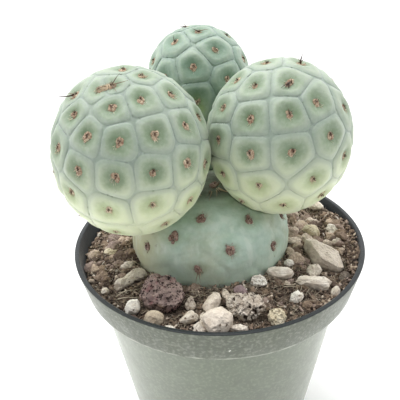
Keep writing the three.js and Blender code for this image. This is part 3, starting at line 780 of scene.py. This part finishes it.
# Each segment: its centre, radius and half heights above and below, how far its foot leans, how square it is, how
# deep its relief is, and its areoles, each by its azimuth and height in degrees.
base_segment = dict(
    centre=stem_centre[:], radius=stem_radius, top=16.8, foot=stem_foot, lean=(0, 0), squareness=stem_squareness,
    relief=0.4, areoles=[
        (-27, 87), (134, 62), (5, 56), (-97, 53), (-150, 50), (80, 50), (-52, 44), (173, 34), (44, 32),
        (-117, 31), (138, 28), (-15, 26), (-75, 22), (102, 19), (-138, 13), (-40, 11), (15, 10), (70, 8),
        (-97, 6), (-174, 2), (152, -5), (42, -9), (119, -10), (-10, -12), (-122, -17), (-65, -19), (88, -21),
        (-157, -29), (21, -34), (166, -36), (-31, -37), (-95, -41), (63, -44), (127, -45), (-135, -60),
        (-46, -67), (138, -76)])
left_segment = dict(
    centre=(-22.6, -11.46, 113.61), radius=20.95, top=22.6, foot=22.6, lean=(0, 0), squareness=2,
    relief=1.0, areoles=[
        (154, 90), (-28, 74), (-102, 68), (43, 65), (-120, 63), (112, 63), (-63, 54), (-157, 53), (-22, 51),
        (-94, 50), (79, 46), (18, 45), (-134, 42), (126, 37), (-113, 31), (54, 31), (162, 30), (-61, 30),
        (-31, 29), (-171, 28), (-88, 28), (-4, 27), (101, 25), (-143, 18), (142, 14), (78, 12), (34, 12),
        (-119, 9), (-67, 8), (-92, 7), (-40, 7), (-180, 5), (120, 3), (-16, -3), (-157, -4), (57, -6),
        (159, -7), (-130, -9), (98, -10), (19, -13), (-69, -15), (-100, -17), (138, -21), (-174, -24),
        (-34, -24), (73, -29), (-8, -32), (114, -35), (39, -35), (-144, -37), (-55, -41), (162, -42),
        (-104, -45), (-15, -57), (67, -58), (122, -61), (-166, -63), (-82, -79)])
right_segment = dict(
    centre=(17.4, -2.36, 113.16), radius=20.15, top=21.75, foot=21.75, lean=(0, 0), squareness=2,
    relief=1.0, areoles=[
        (171, 78), (-5, 76), (98, 63), (-85, 60), (41, 56), (-133, 55), (-173, 53), (3, 46), (133, 46),
        (-60, 42), (69, 38), (-89, 36), (-158, 32), (-122, 31), (-23, 30), (98, 28), (155, 26), (16, 22),
        (44, 20), (-55, 18), (121, 14), (-87, 11), (-151, 10), (-8, 9), (-118, 8), (68, 8), (172, 5), (-37, -2),
        (15, -4), (91, -4), (139, -5), (-69, -11), (40, -13), (-111, -16), (-147, -16), (-177, -18), (-17, -19),
        (111, -21), (64, -25), (152, -28), (-52, -32), (8, -34), (-90, -36), (-136, -42), (90, -43), (39, -49),
        (-175, -49), (129, -51), (-29, -53), (-82, -67), (30, -77)])
back_segment = dict(
    centre=(-5.3, 26.6, 122.9), radius=16.3, top=16, foot=28, lean=(1.5, -11), squareness=2,
    relief=1.0, areoles=[
        (153, 76), (-85, 74), (57, 67), (3, 54), (-135, 54), (104, 50), (156, 47), (-61, 44), (61, 38),
        (23, 29), (126, 27), (-94, 26), (-164, 25), (-12, 23), (91, 14), (-129, 13), (-55, 10), (160, 9),
        (54, 6), (16, -1), (-163, -4), (-20, -5), (125, -7), (-91, -7), (87, -15), (-126, -16), (-57, -19),
        (161, -20), (48, -22), (11, -29), (-161, -33), (-23, -34), (-90, -35), (123, -36), (84, -44),
        (-126, -45), (166, -49), (-56, -50), (41, -51), (-8, -63), (120, -65), (-154, -71)])

young_skin = stem_finish(
    "young_stem_skin", (160, 171, 152), (142, 158, 138), (114, 135, 104), (152, 166, 158), (108, 124, 120),
    (228, 236, 196),
    dict(low=0.95, halo=0.9, band=0.4, ridge_highlight=0.12, line=0.42, powder=0.1, stain=0.0, side=0.0, crease=0.14,
         paled=0.55, scuff=0.06, crown=0.0))
back_skin = stem_finish(
    "shaded_stem_skin", (158, 174, 156), (130, 153, 137), (96, 126, 102), (136, 154, 150), (96, 116, 112),
    (142, 166, 150),
    dict(low=0.5, halo=0.75, band=0.25, ridge_highlight=0.1, line=0.38, powder=0.1, stain=0.0, side=0.0, crease=0.14,
         paled=1.0, scuff=0.0, crown=0.0))
old_skin = stem_finish(
    "old_stem_skin", (190, 210, 198), (162, 186, 170), (144, 164, 132), (178, 195, 185), (156, 175, 165),
    (214, 236, 216),
    dict(low=0.95, halo=0.5, band=0.1, ridge_highlight=0.1, line=0.15, powder=0.18, stain=0.4, side=0.75, crease=0.0,
         paled=1.0, scuff=0.35, crown=0.9))

grow_segment("stem_base", base_segment, old_skin, "old_stem", "segment_base",
             (left_segment, right_segment, back_segment))
grow_segment("stem_left", left_segment, young_skin, "young_stem", "segment_left")
grow_segment("stem_right", right_segment, young_skin, "young_stem", "segment_right")
grow_segment("stem_back", back_segment, back_skin, "old_stem", "segment_back")


# The areoles: a cushion of tan wool sunk in each tubercle, with a tuft of dark brown bristles at its heart and a
# few cream hairs. On the old segment the wool has weathered to discs of reddish-brown felt.

def woolly_finish(name, dark, light, scale):
    """Wool, hair or bristle: tones from dark to light by each tuft's own tone and in patches."""
    material, tree, shader = new_finish(name, roughness=1.0, sheen_weight=0.25, specular_ior_level=0.1)
    mixed = compute(tree, "ADD", between(tree, patchy(tree, scale, 0.5, 0.15), 0.0, 0.5),
                    between(tree, layer(tree, "tone"), 0.0, 0.5))
    tree.links.new(coated(tree, srgb(*dark), (mixed, light)), shader.inputs["Base Color"])
    bump(tree, shader, grain(tree, 5000.0), 0.25 * mm)
    return material


wool = woolly_finish("areole_wool", (150, 114, 94), (228, 214, 184), 2200)
cream_hair = woolly_finish("cream_hair", (206, 190, 160), (242, 232, 210), 900)
bristle = woolly_finish("brown_bristle", (46, 30, 24), (104, 72, 52), 1800)
felt = woolly_finish("old_felt", (112, 84, 76), (200, 172, 158), 2600)

wool_shapes = [strand(100 + seed, 3, 2, 5) for seed in range(12)]
wool_thickness, bristle_thickness, hair_thickness = 0.055, 0.12, 0.07


def hidden_areole(spec, point):
    """True where an areole is covered by soil or by a neighbouring segment."""
    x, y, z = point
    if z < soil_height(x, y) + 0.6 and math.hypot(x, y) < rim_radius:
        return True
    segments = (left_segment, right_segment, back_segment, base_segment)
    return any(inside(other, np.array([point]), 1.0)[0] for other in segments if other is not spec)


def areole_frame(spec, place, sunk):
    """An areole's root on the skin and its outward, sideways and upward directions."""
    direction = np.array([direction_of(*place)])
    root = body_points(spec, direction, -sunk)[0]
    outward = body_points(spec, direction, 1.0)[0] - body_points(spec, direction, 0.0)[0]
    outward = Vector(outward).normalized()
    side = Vector((0, 0, 1)).cross(outward)
    side = side.normalized() if side.length > 0.05 else Vector((1, 0, 0))
    return root, outward, side, outward.cross(side)


def fling(across, along, angle, stretch=1):
    """The way out at an angle round an areole, longer along it where that is stretched."""
    return across * math.cos(angle) + along * math.sin(angle) * stretch


def woolly_tone(high, spread, draw):
    """The tone of a bit of wool: dark high on a segment and pale towards its foot."""
    return high * spread * draw.random() + (1 - high) * draw.uniform(0.75, 1)


def dress_areoles(label, spec, slot, sunk, finish, size, tuft, long_ones=(), streaks=()):
    """Every open areole of a segment with its pad, wool, bristles and hairs. The long ones are given by number,
    turn and stretch, and a streak of small cushions by the two areoles it runs between."""
    draw = random.Random(round(spec["radius"] * 10))
    long_shapes = {number: shape for number, *shape in long_ones}
    cushions = []
    for number, place in enumerate(spec["areoles"]):
        usual = (draw.uniform(-0.5, 0.5), draw.uniform(1.15, 1.5))
        turn, stretch = long_shapes.get(number, usual)
        depth = sunk * (0.5 + 0.5 * smooth_step(math.sin(math.radians(place[1])), -0.75, -0.1))
        root, outward, side, up = areole_frame(spec, place, depth)
        if not hidden_areole(spec, root):
            along = (up * math.cos(turn) + side * math.sin(turn)).normalized()
            high = smooth_step(root[2] - spec["centre"][2], -0.5 * spec["top"], 0.35 * spec["top"])
            here = size * draw.uniform(0.85, 1.12)
            cushions.append((Vector(root) * mm, outward, along, here, stretch, high, 1))
    for first, last in streaks:
        start, end = (Vector(areole_frame(spec, spec["areoles"][k], sunk)[0]) * mm for k in (first, last))
        outward = areole_frame(spec, spec["areoles"][first], sunk)[1]
        for share in (0.2, 0.4, 0.6, 0.8):
            spot = start.lerp(end, share) + 0.1 * outward * mm
            cushions.append((spot, outward, (end - start).normalized(), 0.9 * size, 1.6, 0.1, 0.12))

    pads, wools, darks, creams = [], [], [], []
    for spot, outward, along, here, stretch, high, bristly in cushions:
        here *= 0.84 + 0.16 * high
        across = outward.cross(along)
        basis = Matrix((across, along, outward)).transposed().to_4x4()
        for _ in range(round(6 * stretch)):
            angle, reach = draw.uniform(0, 2 * math.pi), 0.5 * math.sqrt(draw.random())
            shift = fling(across, along, angle, stretch) * reach * here
            bit = here * draw.uniform(0.4, 0.6)
            scale = Matrix.Diagonal((bit * mm, bit * draw.uniform(0.9, 1.3) * mm, 0.5 * bit * mm, 1))
            place = Matrix.Translation(spot + shift * mm) @ basis @ scale
            pads.append((place, woolly_tone(high, 0.55, draw)))
        for _ in range(round(tuft["wool"] * stretch)):
            angle, reach = draw.uniform(0, 2 * math.pi), math.sqrt(draw.random())
            out = fling(across, along, angle, stretch)
            root, aim = spot + out * reach * here * 0.85 * mm, out * (0.3 + reach) + outward
            length = tuft["length"] * draw.uniform(0.6, 1.2)
            place = stand(root, aim, length, wool_thickness, draw.uniform(0, 6))
            wools.append((place, woolly_tone(high, 0.6, draw)))
        for _ in range(round(tuft["dark"] * bristly * (0.6 + 0.4 * high))):
            angle, lean = draw.uniform(0, 2 * math.pi), draw.uniform(0.05, 0.7)
            aim = fling(across, along, angle) * lean + outward
            shift = along * draw.uniform(-0.05, 0.5) * here + across * draw.uniform(-0.2, 0.2) * here
            root = spot + shift * mm + outward * 0.1 * mm
            place = stand(root, aim, draw.uniform(0.5, 0.9), bristle_thickness, angle)
            darks.append((place, draw.random()))
        for _ in range(round(tuft["cream"] * draw.uniform(0.4, 1.6))):
            angle, reach = draw.uniform(0, 2 * math.pi), draw.uniform(0.5, 1.0)
            out = fling(across, along, angle, stretch)
            root = spot + (out * reach * 0.5 - 0.3 * along) * here * mm
            aim = out * 0.4 + outward - 0.6 * along
            place = stand(root, aim, draw.uniform(0.6, 1.2), hair_thickness, angle)
            creams.append((place, draw.random()))
    strew(f"areoles_{label}", small_lumps, pads, finish, slot, smooth=True)
    strew(f"wool_{label}", wool_shapes, wools, finish, slot)
    strew(f"bristles_{label}", wool_shapes, darks, bristle, slot)
    strew(f"hairs_{label}", wool_shapes, creams, cream_hair, slot)


young_tuft = dict(wool=30, dark=14, cream=12, length=0.65)
dress_areoles("left", left_segment, "young_stem", 0.8, wool, 1.4, young_tuft, streaks=((4, 2),))
dress_areoles("right", right_segment, "young_stem", 0.8, wool, 1.3, young_tuft, ((3, 0.9, 2.6),))
dress_areoles("back", back_segment, "old_stem", 0.8, wool, 1.25, young_tuft,
              ((0, 1.2, 1.6), (1, 1.5, 1.9), (4, 0.25, 1.9)))

old_tuft = dict(wool=44, dark=8, cream=9, length=0.55)
dress_areoles("base", base_segment, "old_stem", 0.25, felt, 1.6, old_tuft, ((0, 1.5, 2.3),))


# The spines: a few thin brown ones on the areoles near each tip, and longer tan ones on the old segment, where they
# have bent down over the skin.

spine_horn, tree, shader = new_finish("spine_horn", roughness=0.45)
mottle = between(tree, patchy(tree, 900, 0.5, 0.2), 0.0, 0.3)
colour = coated(tree, srgb(58, 38, 34), (layer(tree, "tone"), (220, 198, 164)), (mottle, (120, 92, 70)))
tree.links.new(colour, shader.inputs["Base Color"])
bump(tree, shader, grain(tree, 2000.0, 2.0), 0.02 * mm)
spine_shapes = [strand(200 + seed, 7, 6, 2.2) for seed in range(6)]

# Each spine: the number of its areole or the place of its root, its azimuth and height in degrees, its length,
# half thickness and tone.
for label, spec, slot, sunk, spines in (
        ("left", left_segment, "young_stem", 0.3, (
            (2, 28, 49, 3.4, 0.15, 0.1), (2, -10, 14, 5.0, 0.15, 0.25), (2, -65, -6, 4.4, 0.14, 0.2),
            (7, -159, -8, 4.5, 0.24, 0.0), (7, -150, 20, 2.4, 0.12, 0.5))),
        ("right", right_segment, "young_stem", 0.3, (
            (3, -136, -4, 3.4, 0.24, 0.0), (3, -125, 8, 2.6, 0.18, 0.1), (3, -112, -30, 2.4, 0.18, 0.0),
            (3, -128, -24, 2.8, 0.2, 0.0), (3, -96, -28, 1.9, 0.14, 0.15), (1, 53, 75, 2.3, 0.26, 0.0),
            (1, -168, 54, 1.9, 0.14, 0.3), (1, -20, 50, 1.5, 0.16, 0.1))),
        ("back", back_segment, "old_stem", 0.3, (
            (1, -5, 14, 3.2, 0.2, 0.3), (0, 169, 55, 1.8, 0.12, 0.5), (1, -170, 30, 1.8, 0.2, 0.0),
            (0, -175, 12, 2.8, 0.18, 0.1), (0, -140, 6, 2.2, 0.16, 0.0), (4, 120, 72, 1.8, 0.18, 0.0))),
        ("base", base_segment, "old_stem", -0.3, (
            ((-55, 81), -40, 2, 4.8, 0.24, 1.0), ((-52, 82), -48, -2, 4.2, 0.2, 0.9),
            ((-80, 80), -100, -3, 5.2, 0.2, 0.6), ((-84, 81), -104, 2, 4.4, 0.16, 0.4),
            ((-66, 80), -88, -2, 3.6, 0.18, 0.8), ((-60, 82), -70, 6, 3.0, 0.16, 0.7),
            (18, -108, -40, 4.0, 0.16, 0.15), (18, -78, -44, 3.6, 0.13, 0.2), (12, -90, -40, 2.6, 0.1, 0.3)))):
    places = []
    for number, azimuth, height, length, thickness, tone in spines:
        place = spec["areoles"][number] if isinstance(number, int) else number
        root = Vector(areole_frame(spec, place, sunk)[0]) * mm
        places.append((stand(root, direction_of(azimuth, height), length, thickness, 2.4 * length), tone))
    strew(f"spines_{label}", spine_shapes, places, spine_horn, slot, smooth=True)


# The loose stones: broken pumice, a porous lump of red lava and a few grey chips, laid on the soil and pressed a
# little way into it. Their broken faces are rough and pitted, and soil clings to their feet.

pores, given, shifted = new_group("pores", ("Scale", "Size", "Spread", "Offset"))
values = {"Vector": shifted, "Scale": given["Scale"], "Detail": 2.0}
wobble = add_node(pores, "ShaderNodeTexNoise", values).outputs["Color"]
values = {0: wobble, 1: (0.0012, 0.0012, 0.0012)}
warped = add_node(pores, "ShaderNodeVectorMath", values, operation="MULTIPLY").outputs[0]
moved = add_node(pores, "ShaderNodeVectorMath", {0: shifted, 1: warped}, operation="ADD").outputs[0]
spots = add_node(pores, "ShaderNodeTexVoronoi", {"Vector": moved, "Scale": given["Scale"]}).outputs["Distance"]
values = {"Vector": shifted, "Scale": product(pores, given["Scale"], 0.45), "Detail": 2.0}
where = add_node(pores, "ShaderNodeTexNoise", values).outputs["Fac"]
sparse = compute(pores, "SUBTRACT", 0.75, given["Spread"])
wide = product(pores, given["Size"], fade(pores, where, sparse, 0.8, 0.0, 1.5))
pores_mask = fade(pores, spots, wide, product(pores, wide, 0.55))
pores.links.new(pores_mask, pores.nodes.new("NodeGroupOutput").inputs["Mask"])


def porous(tree, scale, size, spread, offset=0.0):
    """A mask of small uneven pores, thick in some places and thin in others."""
    values = {"Scale": scale, "Size": size, "Spread": spread, "Offset": offset}
    return add_node(tree, "ShaderNodeGroup", values, node_tree=pores).outputs["Mask"]


def stone_finish(name, light, dark, stain, pore_shade, size, stretch=(1, 1, 1), peppered=0.55):
    """Rough stone: two tones and a stain in patches, fine and coarse pores, its pits, and soil rubbed in at its
    foot. The pores and pits are darkened with painted shade.
    """
    material, tree, shader = new_finish(name, roughness=0.92, specular_ior_level=0.2)
    speckle = grain(tree, 1500.0, 6.0, stretch)
    clouded, stained = patchy(tree, 300, 0.56, 0.2), product(tree, patchy(tree, 460, 0.6, 0.1, 3.0), 0.6)
    speckled = fade(tree, speckle, 0.4, 0.66, 0.0, 0.4)
    coarse, fine = porous(tree, 620, size, 0.35), porous(tree, 1700, size * 1.15, 0.45, 5.0)
    # Deeper pits are darkened: painted shade in the hollows.
    pit_shade = fade(tree, layer(tree, "pit"), 0.14, 0.6, 0.0, 0.85)
    soiled = product(tree, layer(tree, "foot"), between(tree, patchy(tree, 800, 0.5, 0.2, 9.0), 0.45, 1.0))
    colour = coated(tree, srgb(*light), (clouded, dark), (stained, stain), (speckled, dark),
                    (between(tree, fine, 0.0, peppered), pore_shade), (coarse, pore_shade), (pit_shade, pore_shade),
                    (soiled, (84, 66, 52)))
    tree.links.new(colour, shader.inputs["Base Color"])
    rough = bump(tree, shader, speckle, 0.4 * mm)
    rough = bump(tree, shader, compute(tree, "SUBTRACT", 1.0, fine), 0.15 * mm, rough)
    bump(tree, shader, compute(tree, "SUBTRACT", 1.0, coarse), 0.5 * mm, rough)
    return material


# Each kind of stone: its light and dark tones, its stain, the tone of the painted shade in its pores and pits and
# the size of its pores, and what else it has.
finishes = {}
for name, light, dark, stain, pore_shade, size, odd in (
        ("pumice", (238, 230, 216), (206, 193, 176), (192, 172, 148), (134, 114, 96), 0.24, {}),
        ("cream_pumice", (236, 225, 211), (210, 197, 182), (202, 184, 164), (150, 130, 112), 0.2, {}),
        ("white_pumice", (250, 247, 238), (222, 214, 203), (214, 197, 174), (164, 148, 132), 0.22, {}),
        ("striped_pumice", (250, 242, 230), (206, 192, 176), (220, 204, 186), (150, 132, 114), 0.16,
         dict(stretch=(0.22, 1, 2.2))),
        ("yellow_stone", (236, 226, 202), (198, 184, 154), (178, 160, 128), (112, 92, 70), 0.3, {}),
        ("tan_stone", (214, 200, 178), (184, 168, 148), (166, 148, 126), (120, 102, 84), 0.2, {}),
        ("porous_stone", (228, 219, 206), (178, 163, 148), (156, 138, 120), (62, 48, 38), 0.46, {}),
        ("lava_crust", (178, 158, 150), (116, 98, 96), (140, 86, 88), (38, 28, 27), 0.62, dict(peppered=0.85)),
        ("grey_stone", (148, 138, 128), (100, 90, 82), (108, 94, 82), (62, 52, 46), 0.25, {}),
        ("plum_stone", (172, 152, 152), (130, 112, 114), (130, 114, 108), (84, 70, 68), 0.22, {})):
    finishes[name] = stone_finish(name, light, dark, stain, pore_shade, size, **odd)


def waisted(stone, middle, turn):
    """Draw a stone in at its waist, like a knuckle bone, across an axis at a turn in degrees."""
    axis = Vector(direction_of(turn, 0))
    for vert in stone.verts:
        along = axis * (vert.co - middle).dot(axis)
        waist = 1 - 0.3 * math.exp(-((along.dot(axis) / mm + 0.6) / 2.2) ** 2)
        vert.co = middle + along + (vert.co - middle - along) * waist


def break_off(stone, middle, faces, broken, draw):
    """Flatten a stone across each of its faces, from a share of its reach outwards."""
    for facing in faces:
        reach = max((vert.co - middle).dot(facing) for vert in stone.verts)
        reach *= draw.uniform(broken, broken + 0.16)
        for vert in stone.verts:
            beyond = (vert.co - middle).dot(facing) - reach
            if beyond > 0:
                vert.co -= facing * beyond * 0.92


def weather(stone, shift, rough, deep):
    """Roughen and pit a stone's faces, and give the depth of its pits at every point."""
    stone.normal_update()
    moves, pits = [], []
    for vert in stone.verts:
        at = vert.co / mm + shift
        broad, grainy = noise.noise(at * 0.45), noise.fractal(at * 3.0, 0.8, 2.0, 3)
        chipped = abs(noise.noise(at * 0.9)) + 0.5 * abs(noise.noise(at * 2.1))
        hole = max(0.0, noise.noise(at * 1.1 + Vector((9, 0, 0))) - 0.12)
        hole += 0.6 * max(0.0, noise.noise(at * 2.6) - 0.2)
        pit = 2.2 * deep * hole
        pits.append(pit)
        moves.append(rough * (1.1 * broad + 0.9 * (0.35 - chipped) + 0.22 * grainy) - pit - 0.1)
    for vert, move in zip(stone.verts, moves):
        vert.co += vert.normal * move * mm
    return pits


# Each stone: its finish, its slot, how rough its faces are in millimetres, how deep its pores are, and how far out
# its broken faces lie.
for node, finish, slot, rough, deep, broken in (
        ("lava_stone", "lava_crust", "lava", 0.7, 0.16, 0.82),
        ("stone_right_large", "cream_pumice", "pumice", 0.22, 0.05, 0.74),
        ("stone_right_long", "striped_pumice", "pumice", 0.3, 0.05, 0.78),
        ("stone_right_pink", "pumice", "pumice", 0.3, 0.05, 0.78),
        ("stone_right_small", "pumice", "pumice", 0.25, 0.1, 0.78),
        ("stone_right_white", "white_pumice", "pumice", 0.35, 0.3, 0.8),
        ("stone_right_dark", "grey_stone", "grey_gravel", 0.3, 0.1, 0.8),
        ("stone_right_slab", "yellow_stone", "grey_gravel", 0.3, 0.1, 0.78),
        ("stone_stem_oval", "striped_pumice", "pumice", 0.15, 0.0, 0.84),
        ("stone_stem_small", "white_pumice", "pumice", 0.25, 0.1, 0.8),
        ("stone_stem_white", "white_pumice", "pumice", 0.45, 0.35, 0.78),
        ("stone_stem_plum", "plum_stone", "grey_gravel", 0.2, 0.0, 0.8),
        ("stone_front_large", "cream_pumice", "pumice", 0.22, 0.0, 0.8),
        ("stone_front_long", "cream_pumice", "pumice", 0.25, 0.05, 0.76),
        ("stone_front_porous", "porous_stone", "pumice", 1.0, 0.9, 0.84),
        ("stone_front_pitted", "yellow_stone", "pumice", 0.25, 0.4, 0.74),
        ("stone_front_tan", "pumice", "pumice", 0.25, 0.05, 0.84),
        ("stone_front_speckled", "porous_stone", "pumice", 0.3, 0.2, 0.84),
        ("stone_left_long", "pumice", "pumice", 0.4, 0.1, 0.8),
        ("stone_left_small", "pumice", "pumice", 0.2, 0.0, 0.8),
        ("stone_left_white", "white_pumice", "pumice", 0.25, 0.05, 0.84),
        ("stone_left_round", "tan_stone", "pumice", 0.12, 0.0, 0.9),
        ("stone_left_yellow", "yellow_stone", "pumice", 0.25, 0.0, 0.8),
        ("stone_rear_flat", "pumice", "pumice", 0.3, 0.1, 0.78)):
    stone = bmesh.new()
    stone.from_mesh(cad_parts[node].data)
    bmesh.ops.remove_doubles(stone, verts=stone.verts, dist=1e-6)
    cuts = 10 if len(stone.faces) < 120 else 8
    bmesh.ops.subdivide_edges(stone, edges=stone.edges, cuts=cuts, use_grid_fill=True)
    for _ in range(2):
        bmesh.ops.smooth_vert(
            stone, verts=stone.verts, factor=0.5, use_axis_x=True, use_axis_y=True, use_axis_z=True)
    draw = random.Random(node)
    middle = sum((vert.co for vert in stone.verts), Vector()) / len(stone.verts)
    if node == "stone_left_long":
        waisted(stone, middle, 42)
    limits = ((-1, 1), (-1, 1), (-0.3, 1))
    faces = [Vector([draw.uniform(*limit) for limit in limits]).normalized() for _ in range(12)]
    if node == "stone_right_large":  # a block with blunt ends and a broad top
        axis = Vector((math.cos(math.radians(131)), math.sin(math.radians(131)), 0.2)).normalized()
        blunt = [axis, -axis, Vector((0.1, -0.25, 0.96)), Vector((-0.8, -0.5, 0.3)).normalized()]
        faces = blunt + faces[:3]
    break_off(stone, middle, faces, broken, draw)
    pits = weather(stone, Vector((7 * len(node), 3 * ord(node[-1]), 0)), rough, deep)
    piece = as_piece(node + "_worn", stone, finishes[finish], slot)
    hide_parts(node)
    above = [v.co.z / mm - soil_height(v.co.x / mm, v.co.y / mm) for v in piece.data.vertices]
    carry(piece, "foot", [1 - smooth_step(height, 0.0, 1.3) for height in above])
    carry(piece, "pit", pits)
